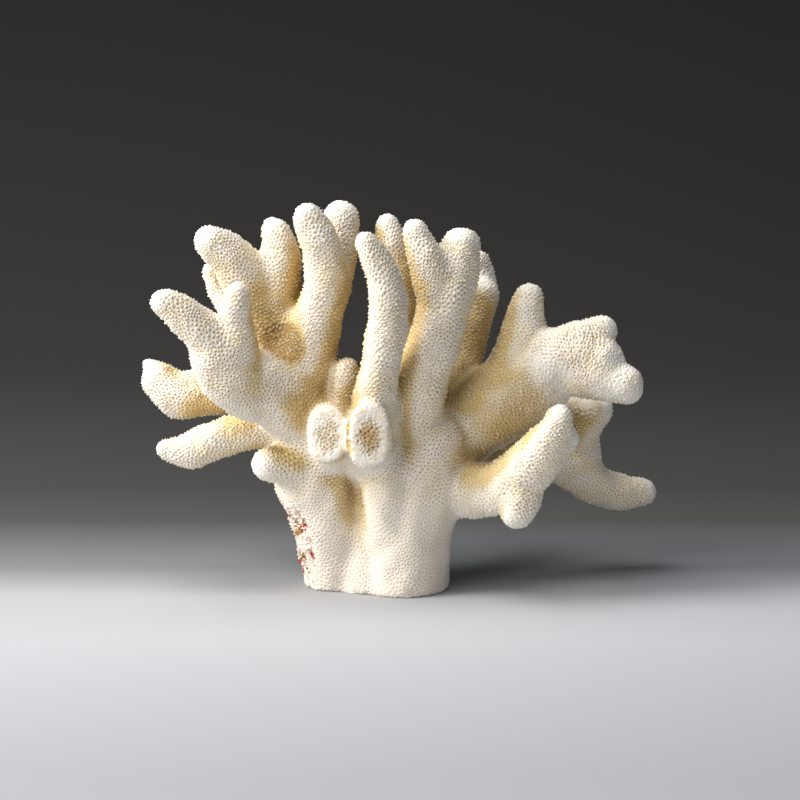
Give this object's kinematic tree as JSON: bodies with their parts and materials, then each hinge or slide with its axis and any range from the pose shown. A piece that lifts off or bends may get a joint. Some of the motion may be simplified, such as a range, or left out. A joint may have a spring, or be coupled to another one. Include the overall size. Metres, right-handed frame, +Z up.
{
  "type": "cat's paw coral skeleton",
  "caption": "Dried white coral skeleton: two fused stems on a flat cut foot carry a spreading crown of blunt, finger-like lobed branches.",
  "frame": {"origin": "middle of the flat cut that the skeleton stands on, at z = 0", "axes": "+Z up, +X to the right across the crown's widest spread, +Y to the back, away from the two broken stumps"},
  "size_m": [0.1855, 0.0983, 0.1362],
  "materials": {
    "coral_skeleton": "matt porous white aragonite, ochre in the pits"
  },
  "bodies": {
    "root": {"stems": "coral_skeleton", "crown_base": "coral_skeleton", "left_palm": "coral_skeleton", "left_front_fingers": "coral_skeleton", "left_top_fingers": "coral_skeleton", "left_tall_fingers": "coral_skeleton", "left_paddle": "coral_skeleton", "left_lower_arm": "coral_skeleton", "front_finger": "coral_skeleton", "rear_finger": "coral_skeleton", "centre_fork": "coral_skeleton", "right_rear_finger": "coral_skeleton", "right_arm": "coral_skeleton", "right_front_arm": "coral_skeleton", "right_back_arm": "coral_skeleton", "back_left_finger": "coral_skeleton", "back_left_arm": "coral_skeleton", "back_middle_finger": "coral_skeleton", "back_right_arm": "coral_skeleton"}
  },
  "joints": []
}
